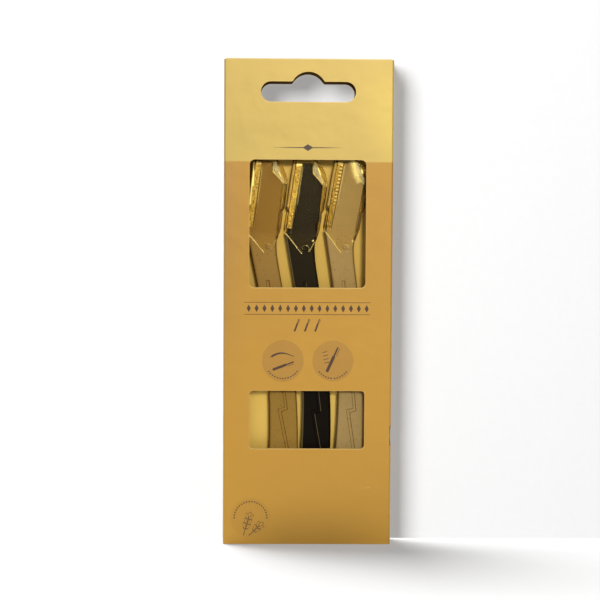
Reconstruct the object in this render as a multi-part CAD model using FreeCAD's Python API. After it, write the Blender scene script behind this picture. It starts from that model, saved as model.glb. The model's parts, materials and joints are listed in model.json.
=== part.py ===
import FreeCAD, Part
import math
import os

V = FreeCAD.Vector

# A hang-sell pack of eyebrow razors: an open-windowed carton sleeve over a shallow tray that carries
# the razors, each with a clear cap. Millimetres. +Z up, front towards -Y, origin at the middle of
# the underside.

# Carton sleeve
pack_width = 59.0
pack_depth = 10.0
pack_height = 170.0
board = 0.4
crease = 0.7
tongue_drop = 4.0
dust_flap_length = 15.0
dust_flap_taper = 2.5
glue_flap_width = 7.0
glue_flap_inset = 3.0
cut_overrun = 2.0

# Windows in the front panel
upper_middle = -0.2
upper_width = 40.6
upper_low = 90.5
upper_high = 135.0
upper_corner = 1.8
lower_middle = -0.1
lower_width = 40.3
lower_low = 33.9
lower_high = 54.25
lower_corner = 1.3

# Hang hole through front and back panels
slot_width = 33.0
slot_height = 7.0
slot_drop = 15.0
slot_shift = -0.2
bump_radius = 6.2
bump_height = 3.4
bump_fillet = 0.8
slot_end_share = 0.999

# Thumb notch over the front right crease
notch_radius = 3.5
notch_centre = 38.5
notch_bite = 0.5

# Tray
tray_gap = 0.15
tray_slot_gap = 6.0
lip_height = 14.0
wall_corner = 4.0

# Where the razors lie
rest_gap = 0.1
tail_gap = 0.8
razor_names = ["left", "middle", "right"]
middle_razor_across = -2.33
left_cap_gap = 0.1
right_cap_gap = 0.43
razor_rise = [0.5, 0.0, 0.5]
razor_lean_deg = [-1.6, 0.0, 1.4]

# Handle, in the razor's own frame: origin at the elbow where handle and head meet
handle_length = 107.6
handle_width = 10.5
handle_sway = 5.4
handle_thickness = 3.7
handle_round = 1.1
shoulder_left = -5.9
shoulder_right = 5.25
handle_station_share = [
    (0.054, 0.010, 0.900),
    (0.086, 0.090, 0.871),
    (0.171, 0.363, 0.852),
    (0.335, 0.740, 0.885),
    (0.513, 1.026, 0.945),
    (0.699, 1.024, 1.000),
    (0.836, 0.900, 0.990),
    (0.956, 0.770, 0.895),
]
pip_radius = 0.65
pip_height = 0.6
pip_round = 0.25
pip_root = 0.3
motif_depth = 0.3
motif_slope = 0.22
motif_share = [
    (0.070, 0.153),
    (0.186, 0.153),
    (0.710, 0.580),
    (0.500, 0.588),
    (0.695, 0.697),
    (0.800, 0.795),
    (0.577, 0.697),
    (0.376, 0.586),
    (0.371, 0.576),
    (0.590, 0.572),
]

# Head, in the head's frame: the same origin, leaned with the head
head_lean_deg = 8.4
head_width = 9.2
head_left = -3.8
head_root = 3.0
head_thickness = 2.4
head_edge = 0.2
head_outline_share = [
    (0.049, 0.985, 0.05),
    (0.432, 1.000, 0.09),
    (0.502, 0.862, 0.06),
    (0.941, 0.731, 0.08),
    (0.960, 0.460, 0.30),
    (1.000, 0.240, 0.30),
    (0.984, 0.000, 0.00),
]

# Blade and its slotted guard, along the head's left edge
blade_length = 22.0
blade_low = 2.2
head_tip_margin = 1.2
head_length = blade_low + blade_length + head_tip_margin
blade_thickness = 0.25
blade_bevel = 0.8
guard_outer = -5.45
guard_inner = -3.05
guard_sheet = 0.15
guard_gap = 0.08
guard_margin = 0.5
guard_corner = 0.5
guard_seat_gap = 0.03
comb_pitch = 1.25
comb_slot = 0.5
comb_root_share = 0.42
blade_root = 0.75

# Clear cap, in the head's frame
cap_thickness = 5.6
cap_clear = 0.2
cap_head_room = 1.9
cap_length = head_length + cap_head_room
cap_left = -6.95
cap_right = 6.6
cap_wall = 0.6
cap_top_wall = 0.7
cap_edge = 1.0
tongue_edge = 0.35
collar_left = -6.36
collar_right = 6.0
collar_wall = 0.36
collar_right_wall = 0.45
collar_left_low = 0.1
collar_right_low = 1.5
collar_left_high = 6.9
collar_right_high = 8.6
collar_flare = 1.2
cap_corner = 1.4
cap_shoulder_share = [
    (0.000, 0.000, 0.200),
    (0.610, 0.088, 1.200),
    (0.985, 0.282, 0.400),
]
hollow_shoulder_share = [
    (0.017, 0.000, 0.130),
    (0.600, 0.150, 0.330),
    (0.847, 0.271, 0.400),
    (1.000, 0.315, 0.200),
]
tongue_tip_across = 1.14
tongue_tip = -6.8
tongue_lobe_across = 3.75
tongue_lobe = -5.7
tongue_bend_across = 5.2
tongue_bend = -1.9
tongue_round = 0.4
notch_across = 2.25
notch_up = -4.5
cap_notch_radius = 1.0
rib_count = 5
rib_pitch = 0.75
rib_radius = 0.16
rib_margin = 0.8

OUT = "parts"
touch_share = 1e-3

PLANES = {
    "front": (V(1, 0, 0), V(0, 0, 1), V(0, 1, 0)),
    "plan": (V(1, 0, 0), V(0, 1, 0), V(0, 0, 1)),
    "side": (V(0, 1, 0), V(0, 0, 1), V(1, 0, 0)),
}


def rounded_wire(corners, plane):
    """A closed wire through corners (u, v, radius), each corner turned by a tangent arc."""
    along_u, along_v, _ = PLANES[plane]
    points = [along_u * u + along_v * v for u, v, _ in corners]
    count = len(points)
    spans = []
    for i in range(count):
        here = points[i]
        back = (points[i - 1] - here).normalize()
        ahead = (points[(i + 1) % count] - here).normalize()
        radius = corners[i][2]
        half = back.getAngle(ahead) / 2
        cut = radius / math.tan(half)
        middle = (back + ahead).normalize() * (radius / math.sin(half) - radius)
        spans.append((here + back * cut, here + middle, here + ahead * cut, radius))
    edges = []
    for i in range(count):
        start, middle, end, radius = spans[i]
        if radius:
            edges.append(Part.Arc(start, middle, end).toShape())
        following = spans[(i + 1) % count][0]
        if end.distanceToPoint(following) > board * touch_share:
            edges.append(Part.LineSegment(end, following).toShape())
    return Part.Wire(edges)


def prism(corners, plane, low, high):
    """The rounded outline carried along the plane's normal from low to high."""
    normal = PLANES[plane][2]
    face = Part.Face(rounded_wire(corners, plane))
    face.translate(normal * low)
    return face.extrude(normal * (high - low))


def rectangle(u_low, u_high, v_low, v_high, radius=0):
    low = [(u_low, v_low, radius), (u_high, v_low, radius)]
    return low + [(u_high, v_high, radius), (u_low, v_high, radius)]


def block(x_low, x_high, y_low, y_high, z_low, z_high):
    return prism(rectangle(x_low, x_high, y_low, y_high), "plan", z_low, z_high)


def tube_wall(x_low, x_high, y_low, y_high, z_high):
    """A folded tube of board standing on the ground, its four corners creased round."""
    outer = prism(rectangle(x_low, x_high, y_low, y_high, crease), "plan", 0, z_high)
    hollow = rectangle(x_low + board, x_high - board, y_low + board, y_high - board, crease - board)
    return outer.cut(prism(hollow, "plan", -cut_overrun, z_high + cut_overrun))


# Sleeve
half_width = pack_width / 2
half_depth = pack_depth / 2
panel_half = half_width - crease
lid_under = pack_height - board
slot_low = pack_height - slot_drop


def hang_hole(y_low, y_high):
    """The euro slot: a long slot with round ends and a shallow bump in the middle of its top."""
    slot_top = slot_low + slot_height
    left = slot_shift - slot_width / 2
    ends = rectangle(left, left + slot_width, slot_low, slot_top, slot_height / 2 * slot_end_share)
    slot = prism(ends, "front", y_low, y_high)
    centre_up = slot_top + bump_height - bump_radius
    fillet_up = slot_top + bump_fillet
    reach = bump_radius + bump_fillet
    fillet_out = math.sqrt(reach ** 2 - (fillet_up - centre_up) ** 2)
    touch = V(fillet_out, 0, fillet_up - centre_up) * (bump_radius / reach) + V(0, 0, centre_up)
    bend = (V(fillet_out, 0, slot_top) + touch) / 2 - V(fillet_out, 0, fillet_up)
    bend = V(fillet_out, 0, fillet_up) + bend.normalize() * bump_fillet

    def mirrored(p):
        return V(-p.x, p.y, p.z)

    foot = V(fillet_out, 0, slot_top)
    base = V(fillet_out, 0, slot_top - slot_height / 2)
    crown = V(0, 0, slot_top + bump_height)
    edges = [
        Part.LineSegment(mirrored(base), mirrored(foot)).toShape(),
        Part.Arc(mirrored(foot), mirrored(bend), mirrored(touch)).toShape(),
        Part.Arc(mirrored(touch), crown, touch).toShape(),
        Part.Arc(touch, bend, foot).toShape(),
        Part.LineSegment(foot, base).toShape(),
        Part.LineSegment(base, mirrored(base)).toShape(),
    ]
    bump = Part.Face(Part.Wire(edges)).extrude(V(0, y_high - y_low, 0))
    bump.translate(V(slot_shift, y_low, 0))
    return slot.fuse(bump)


def thumb_notch():
    centre = V(half_width - notch_bite, -half_depth, notch_centre)
    return Part.makeCylinder(notch_radius, notch_bite + cut_overrun, centre, V(1, 0, 0))


def window(middle, width, low, high, corner):
    opening = rectangle(middle - width / 2, middle + width / 2, low, high, corner)
    return prism(opening, "front", -half_depth - cut_overrun, 0)


def sleeve_front():
    panel = block(-panel_half, panel_half, -half_depth, -half_depth + board, 0, pack_height)
    upper = window(upper_middle, upper_width, upper_low, upper_high, upper_corner)
    lower = window(lower_middle, lower_width, lower_low, lower_high, lower_corner)
    panel = panel.cut(upper).cut(lower)
    return panel.cut(hang_hole(-half_depth - cut_overrun, 0)).cut(thumb_notch())


def sleeve_back():
    panel = block(-panel_half, panel_half, half_depth - board, half_depth, 0, pack_height - crease)
    return panel.cut(hang_hole(0, half_depth + cut_overrun))


dust_flap_half = half_depth - board - crease - tray_gap


def sleeve_side(sign):
    """A side panel with its two vertical creases; the dust flap's fold takes the top of its flat."""
    tube = tube_wall(-half_width, half_width, -half_depth, half_depth, lid_under)
    near, far = sorted((sign * panel_half, sign * (half_width + cut_overrun)))
    side = tube.common(block(near, far, -half_depth, half_depth, 0, lid_under))
    side = side.cut(block(near, far, -dust_flap_half, dust_flap_half, lid_under - crease, pack_height))
    return side.cut(thumb_notch()) if sign > 0 else side


def dust_flap(sign):
    """The side panel's top fold and the flap under the lid, its free end tapered."""
    outer = -half_width
    low = lid_under - crease
    fold = [
        (outer, low, 0),
        (outer, lid_under, crease),
        (outer + dust_flap_length, lid_under, 0),
        (outer + dust_flap_length, lid_under - board, 0),
        (outer + board, lid_under - board, crease - board),
        (outer + board, low, 0),
    ]
    flap = prism(fold, "front", -dust_flap_half, dust_flap_half)
    tip = outer + dust_flap_length
    narrow = dust_flap_half - dust_flap_taper
    trim = [
        (outer - cut_overrun, -dust_flap_half, 0),
        (tip - dust_flap_taper, -dust_flap_half, 0),
        (tip, -narrow, 0),
        (tip, narrow, 0),
        (tip - dust_flap_taper, dust_flap_half, 0),
        (outer - cut_overrun, dust_flap_half, 0),
    ]
    flap = flap.common(prism(trim, "plan", low - cut_overrun, pack_height))
    return flap if sign < 0 else flap.mirror(V(0, 0, 0), V(1, 0, 0))


def top_flap():
    """The lid: folded from the back panel's top, over the end, and tucked down behind the front."""
    inside = -half_depth + board
    low = pack_height - tongue_drop
    fold = [
        (half_depth, pack_height - crease, 0),
        (half_depth, pack_height, crease),
        (inside, pack_height, crease),
        (inside, low, 0),
        (inside + board, low, 0),
        (inside + board, lid_under, crease - board),
        (half_depth - board, lid_under, crease - board),
        (half_depth - board, pack_height - crease, 0),
    ]
    return prism(fold, "side", -panel_half, panel_half)


def glue_flap():
    """The strip that closes the tube, stuck inside the left panel."""
    back = half_depth - board
    strip = [
        (back, glue_flap_inset, 0),
        (back, lid_under - glue_flap_inset, 0),
        (back - glue_flap_width, lid_under - 2 * glue_flap_inset, 0),
        (back - glue_flap_width, 2 * glue_flap_inset, 0),
    ]
    inner = -half_width + board
    flap = prism(strip, "side", inner, inner + board)
    corner = block(inner, inner + board, back - crease + board, back, 0, pack_height)
    return flap.cut(corner)


# Tray
tray_left = -half_width + 2 * board + tray_gap
tray_right = half_width - board - tray_gap
tray_back_face = half_depth - board - tray_gap
tray_front_face = -tray_back_face
tray_height = slot_low - tray_slot_gap


def tray_tube():
    """The tray's back and walls as one bent strip; its front side lies past the walls' free edges."""
    front = tray_front_face - crease - board
    tube = tube_wall(tray_left, tray_right, front, tray_back_face, tray_height)
    return tube.common(block(tray_left, tray_right, tray_front_face, tray_back_face, 0, tray_height))


def tray_back():
    return tray_tube().common(block(tray_left + crease, tray_right - crease, 0, half_depth, 0, tray_height))


def tray_side(sign):
    near, far = (tray_left, tray_left + crease) if sign < 0 else (tray_right - crease, tray_right)
    wall = tray_tube().common(block(near, far, tray_front_face, tray_back_face, 0, tray_height))
    profile = [
        (tray_front_face, 0, 0),
        (tray_back_face, 0, 0),
        (tray_back_face, tray_height, 0),
        (tray_front_face, tray_height, wall_corner),
    ]
    return wall.common(prism(profile, "side", near, far))


def tray_end():
    """The end panel and front lip bent from one strip, as a profile seen from the side."""
    fold = [
        (tray_back_face - board, 0, 0),
        (tray_front_face, 0, crease),
        (tray_front_face, lip_height, 0),
        (tray_front_face + board, lip_height, 0),
        (tray_front_face + board, board, crease - board),
        (tray_back_face - board, board, 0),
    ]
    return prism(fold, "side", tray_left + board, tray_right - board).cut(tray_tube())


def tray_end_part(z_low, z_high):
    return tray_end().common(block(tray_left, tray_right, tray_front_face, tray_back_face, z_low, z_high))


# Razor
razor_depth = tray_back_face - board - rest_gap - cap_thickness / 2
elbow_height = board + tail_gap + handle_length


def razor_pitch(cap_gap, lean_deg):
    """How far apart two razors stand: their caps' breadth and gap, less what the lean takes up."""
    breadth = (cap_right - cap_left) / math.cos(math.radians(head_lean_deg))
    collar_top = collar_left_high + collar_flare
    return breadth + cap_gap - collar_top * math.tan(math.radians(abs(lean_deg)))


razor_across = [
    middle_razor_across - razor_pitch(left_cap_gap, razor_lean_deg[0]),
    middle_razor_across,
    middle_razor_across + razor_pitch(right_cap_gap, razor_lean_deg[2]),
]


def leaned(shape):
    turned = shape.copy()
    turned.rotate(V(0, 0, 0), V(0, 1, 0), head_lean_deg)
    return turned


def leaned_point(across, up):
    return FreeCAD.Rotation(V(0, 1, 0), head_lean_deg).multVec(V(across, 0, up))


def face_edges(shape, half):
    """The edges that lie in the shape's front and back faces."""
    return [e for e in shape.Edges if abs(abs(e.CenterOfMass.y) - half) < board * touch_share]


def handle_edge(side):
    """Points down one edge of the handle, from the shoulder line to where the round tail starts."""
    points = [leaned_point(shoulder_left if side < 0 else shoulder_right, 0)]
    for down, centre, width in handle_station_share:
        across = centre * handle_sway + side * width * handle_width / 2
        points.append(V(across, 0, -down * handle_length))
    return points


def handle_blank():
    """The handle's bowed outline, its tail a half circle, as a slab with rounded long edges."""
    left = handle_edge(-1)
    right = handle_edge(1)
    tail = V((left[-1].x + right[-1].x) / 2, 0, left[-1].z - (right[-1].x - left[-1].x) / 2)
    left_curve = Part.BSplineCurve()
    left_curve.interpolate(left)
    right_curve = Part.BSplineCurve()
    right_curve.interpolate(right)
    edges = [
        left_curve.toShape(),
        Part.Arc(left[-1], tail, right[-1]).toShape(),
        right_curve.toShape(),
        Part.LineSegment(right[0], left[0]).toShape(),
    ]
    face = Part.Face(Part.Wire(Part.__sortEdges__(edges)))
    face.translate(V(0, -handle_thickness / 2, 0))
    slab = face.extrude(V(0, handle_thickness, 0))
    long_edges = [e for e in slab.Edges if e.Curve.TypeId != "Part::GeomLine"]
    return slab.makeFillet(handle_round, long_edges)


def motif():
    """A slim zigzag band sunk in the front of the handle, with sloped sides."""
    corners = []
    for across, down in motif_share:
        corners.append((across * handle_width, -down * handle_length, 0))
    floor = -handle_thickness / 2 + motif_depth
    band = prism(corners, "front", floor - motif_depth - cut_overrun, floor)
    rim = [e for e in band.Edges if abs(e.CenterOfMass.y - floor) < board * touch_share]
    return band.makeChamfer(motif_slope, rim)


def head_plate():
    """The head: a thinner plate with a straight blade side, a narrow tip and a cut-off shoulder."""
    corners = [(head_left, -head_root, 0)]
    for across, up, turn in head_outline_share:
        corners.append((head_left + across * head_width, up * head_length, turn * head_width))
    corners.append((head_left + head_width * head_outline_share[-1][0], -head_root, 0))
    half = head_thickness / 2
    plate = prism(corners, "front", -half, half)
    rim = [e for e in face_edges(plate, half) if e.BoundBox.ZMax > 0]
    return plate.makeChamfer(head_edge, rim)


guard_half = blade_thickness / 2 + guard_gap + guard_sheet
guard_low = blade_low - guard_margin
guard_high = blade_low + blade_length + guard_margin


def blade_slot():
    half = guard_half + guard_seat_gap
    deep = guard_inner + blade_root
    return block(guard_outer, deep, -half, half, guard_low - guard_seat_gap, guard_high + guard_seat_gap)


def handle():
    body = handle_blank().fuse(leaned(head_plate())).removeSplitter()
    body = body.cut(leaned(blade_slot())).cut(motif())
    root = V(notch_across, pip_root - handle_thickness / 2, notch_up)
    pip = Part.makeCylinder(pip_radius, pip_height + pip_root, root, V(0, -1, 0))
    pip = pip.makeFillet(pip_round, face_edges(pip, handle_thickness / 2 + pip_height))
    return body.fuse(leaned(pip))


def blade():
    """A steel strip ground to an edge on its free side, its back seated in the head's slot."""
    edge = guard_outer + guard_sheet + guard_gap
    root = guard_inner + blade_root
    half = blade_thickness / 2
    section = [
        (edge, 0, 0),
        (edge + blade_bevel, -half, 0),
        (root, -half, 0),
        (root, half, 0),
        (edge + blade_bevel, half, 0),
    ]
    return leaned(prism(section, "plan", blade_low, blade_low + blade_length))


def guard():
    """A thin sheet folded round the cutting edge, its leaves cut into teeth that seat in the head."""
    outline = [
        (guard_outer, guard_low, guard_corner),
        (guard_inner, guard_low, 0),
        (guard_inner, guard_high, 0),
        (guard_outer, guard_high, guard_corner),
    ]
    sheet = prism(outline, "front", -guard_half, guard_half)
    inside = guard_half - guard_sheet
    fold = guard_outer + guard_sheet
    sheet = sheet.cut(block(fold, guard_inner + cut_overrun, -inside, inside, -cut_overrun, cap_length))
    depth = guard_inner - guard_outer
    count = int((guard_high - guard_low - comb_slot) / comb_pitch)
    first = (guard_low + guard_high) / 2 - (count - 1) * comb_pitch / 2
    root = guard_outer + comb_root_share * depth
    slots = []
    for i in range(count):
        low = first + i * comb_pitch - comb_slot / 2
        slots.append(block(root, guard_inner + cut_overrun, -half_depth, half_depth, low, low + comb_slot))
    return leaned(sheet.cut(Part.makeCompound(slots)))


def cap_outline(left, right, top, neck, corner, shoulder_share):
    """The cap seen from the front, from its left collar up, over the sloped shoulder and down."""
    points = [
        (neck[0], collar_left_high, 0),
        (left, collar_left_high + collar_flare, 0),
        (left, top, corner),
    ]
    for across, drop, turn in shoulder_share:
        points.append((across * right, top - drop * cap_length, turn * right))
    points.append((right, collar_right_high + collar_flare, 0))
    points.append((neck[1], collar_right_high, 0))
    return points


def cap_body():
    """The cap's wide upper part, its front and back rims rounded down to where the collar starts."""
    half = cap_thickness / 2
    neck = (collar_left, collar_right)
    corners = cap_outline(cap_left, cap_right, cap_length, neck, cap_corner, cap_shoulder_share)
    body = prism(corners, "front", -half, half)
    foot = collar_right - collar_left
    rim = [e for e in face_edges(body, half) if abs(e.BoundBox.XLength - foot) > board * touch_share]
    return body.makeFillet(cap_edge, rim)


def cap_collar():
    """The narrower collar and its V-shaped tongue, notched round the pip, rooted in the body above."""
    half = cap_thickness / 2
    root = collar_flare / 2
    corners = [
        (collar_left, collar_left_high + root, 0),
        (collar_right, collar_right_high + root, 0),
        (collar_right, collar_right_low, 0),
        (tongue_bend_across, tongue_bend, cap_corner),
        (tongue_lobe_across, tongue_lobe, tongue_round),
        (notch_across, tongue_lobe + tongue_round, 0),
        (tongue_tip_across, tongue_tip, tongue_round),
        (collar_left, collar_left_low, 0),
    ]
    collar = prism(corners, "front", -half, half)
    collar = collar.makeChamfer(tongue_edge, face_edges(collar, half))
    return collar.cut(cap_notch(half))


def cap_notch(half):
    """The half-round notch that closes on the pip, open downwards, with its round rims sloped."""
    left = notch_across - cap_notch_radius
    mouth = rectangle(left, left + 2 * cap_notch_radius, tongue_tip - cut_overrun, notch_up)
    cutters = [prism(mouth, "front", -half, half)]
    notch = Part.makeCylinder(cap_notch_radius, cap_thickness, V(notch_across, -half, notch_up), V(0, 1, 0))
    wide = cap_notch_radius + tongue_edge
    for side in (-1, 1):
        start = V(notch_across, side * half, notch_up)
        cutters.append(Part.makeCone(wide, cap_notch_radius, tongue_edge, start, V(0, -side, 0)))
    return notch.multiFuse(cutters)


def cap_hollow():
    """The room inside the cap; the collar's stretch runs on down through the mouth."""
    top = cap_length - cap_top_wall
    neck = (collar_left + collar_wall, collar_right - collar_right_wall)
    left = cap_left + cap_wall
    right = cap_right - cap_wall
    corners = cap_outline(left, right, top, neck, cap_corner - cap_wall, hollow_shoulder_share)
    mouth = tongue_tip - cut_overrun
    corners += [(neck[1], mouth, 0), (neck[0], mouth, 0)]
    half = handle_thickness / 2 + cap_clear
    return prism(corners, "front", -half, half)


def cap_ribs():
    """Fine grip ribs up both sides of the collar."""
    ribs = []
    for side, wall, low, high in (
        (-1, collar_left, collar_left_low, collar_left_high),
        (1, collar_right, collar_right_low, collar_right_high),
    ):
        for i in range(rib_count):
            y = (i - (rib_count - 1) / 2) * rib_pitch
            start = V(wall, y, low + rib_margin)
            ribs.append(Part.makeCylinder(rib_radius, high - low - 2 * rib_margin, start, V(0, 0, 1)))
    return ribs


def cap():
    shell = cap_body().multiFuse([cap_collar()] + cap_ribs())
    return leaned(shell.cut(cap_hollow()))


def placed(shape, index):
    """One razor piece, carried from the razor's own frame to its place in the tray."""
    moved = shape.copy()
    moved.rotate(V(0, 0, 0), V(0, 1, 0), razor_lean_deg[index])
    moved.translate(V(razor_across[index], razor_depth, elbow_height + razor_rise[index]))
    return moved


def save(name, shape):
    if shape.ShapeType == "Compound" and len(shape.Solids) == 1:
        shape = shape.Solids[0]
    print(name, "valid", shape.isValid(), "solids", len(shape.Solids), "volume", round(shape.Volume, 2))
    shape.exportStep(os.path.join(OUT, name + ".step"))


def main():
    os.makedirs(OUT, exist_ok=True)
    save("sleeve_front_panel", sleeve_front())
    save("sleeve_back_panel", sleeve_back())
    save("sleeve_left_panel", sleeve_side(-1))
    save("sleeve_right_panel", sleeve_side(1))
    save("sleeve_dust_flap_left", dust_flap(-1))
    save("sleeve_dust_flap_right", dust_flap(1))
    save("sleeve_top_flap", top_flap())
    save("sleeve_glue_flap", glue_flap())
    save("tray_back_panel", tray_back())
    save("tray_left_wall", tray_side(-1))
    save("tray_right_wall", tray_side(1))
    save("tray_end_panel", tray_end_part(0, crease))
    save("tray_front_lip", tray_end_part(crease, lip_height))
    pieces = {"handle": handle(), "blade": blade(), "guard": guard(), "cap": cap()}
    for index, where in enumerate(razor_names):
        for piece, shape in pieces.items():
            save(where + "_razor_" + piece, placed(shape, index))


main()
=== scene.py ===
import json
import math
from functools import reduce

import bpy
import numpy as np
from mathutils import Matrix, Vector


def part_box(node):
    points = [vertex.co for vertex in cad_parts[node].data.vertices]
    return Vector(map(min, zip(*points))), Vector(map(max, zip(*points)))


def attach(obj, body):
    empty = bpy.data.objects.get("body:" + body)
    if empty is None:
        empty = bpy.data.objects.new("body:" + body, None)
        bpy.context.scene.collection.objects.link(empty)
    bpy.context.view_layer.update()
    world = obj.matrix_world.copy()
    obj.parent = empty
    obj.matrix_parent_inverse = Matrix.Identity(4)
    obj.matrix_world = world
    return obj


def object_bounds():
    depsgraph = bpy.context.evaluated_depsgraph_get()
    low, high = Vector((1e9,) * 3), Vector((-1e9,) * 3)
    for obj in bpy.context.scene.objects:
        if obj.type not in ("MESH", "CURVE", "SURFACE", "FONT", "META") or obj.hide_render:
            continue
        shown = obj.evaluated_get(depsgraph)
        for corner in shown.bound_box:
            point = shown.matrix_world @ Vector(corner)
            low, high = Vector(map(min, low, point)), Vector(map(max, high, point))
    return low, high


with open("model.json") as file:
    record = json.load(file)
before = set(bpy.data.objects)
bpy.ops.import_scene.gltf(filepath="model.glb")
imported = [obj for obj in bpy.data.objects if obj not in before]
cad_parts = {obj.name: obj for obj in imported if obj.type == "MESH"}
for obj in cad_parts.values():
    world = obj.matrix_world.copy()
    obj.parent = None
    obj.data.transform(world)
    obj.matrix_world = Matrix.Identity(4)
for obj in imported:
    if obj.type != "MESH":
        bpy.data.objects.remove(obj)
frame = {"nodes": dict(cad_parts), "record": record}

# A hang-sell pack of eyebrow razors: gold carton sleeve, gold tray, three razors under clear caps.
# The front faces -Y. Camera, lamps and stage are in metres; finishes and heels are in millimetres.
MM = 0.001
cad_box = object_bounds()
record = frame["record"]
nodes = frame["nodes"]


# Shader workshop

WHITE = (1.0, 1.0, 1.0, 1.0)

# Pitches added before a remainder is taken, so that it never counts from below zero
PITCHES_AHEAD = 200

# The node that ends the tree of each kind of owner
OUTPUTS = {"materials": "OutputMaterial", "worlds": "OutputWorld"}


def hue(red, green, blue):
    """A screen colour, 0 to 255, as the linear colour that renders to it."""
    channels = []
    for value in (red, green, blue):
        share = value / 255
        channels.append(share / 12.92 if share <= 0.04045 else ((share + 0.055) / 1.055) ** 2.4)
    return (*channels, 1.0)


def grey(level):
    """A grey, from its linear brightness."""
    return (level, level, level, 1.0)


class Value:
    """One number or vector inside a finish; Python's operators lay down its Math nodes."""

    def __init__(self, finish, socket):
        self.finish = finish
        self.socket = socket

    def _math(self, operation, *terms):
        return self.finish.node("Math", {"operation": operation}, dict(enumerate(terms)))

    def __add__(self, other):
        return self._math("ADD", self, other)

    def __sub__(self, other):
        return self._math("SUBTRACT", self, other)

    def __rsub__(self, other):
        return self._math("SUBTRACT", other, self)

    def __mul__(self, other):
        return self._math("MULTIPLY", self, other)

    def __truediv__(self, other):
        return self._math("DIVIDE", self, other)

    def __pow__(self, other):
        return self._math("POWER", self, other)

    def __neg__(self):
        return self._math("SUBTRACT", 0, self)

    def __abs__(self):
        return self._math("ABSOLUTE", self)

    __radd__ = __add__
    __rmul__ = __mul__

    def low(self, other):
        """The lesser of two, which joins two outlines into one."""
        return self._math("MINIMUM", self, other)

    def high(self, other):
        """The greater of two, which keeps what two outlines share."""
        return self._math("MAXIMUM", self, other)

    def wave(self):
        """The sine of an angle in radians."""
        return self._math("SINE", self)

    def angle_from(self, other):
        """The angle of the point (other, self), in radians."""
        return self._math("ARCTAN2", self, other)

    def repeat(self, pitch):
        """The place within one pitch, counted from its middle."""
        return self._math("MODULO", self + PITCHES_AHEAD * pitch, pitch) - pitch / 2


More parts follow.
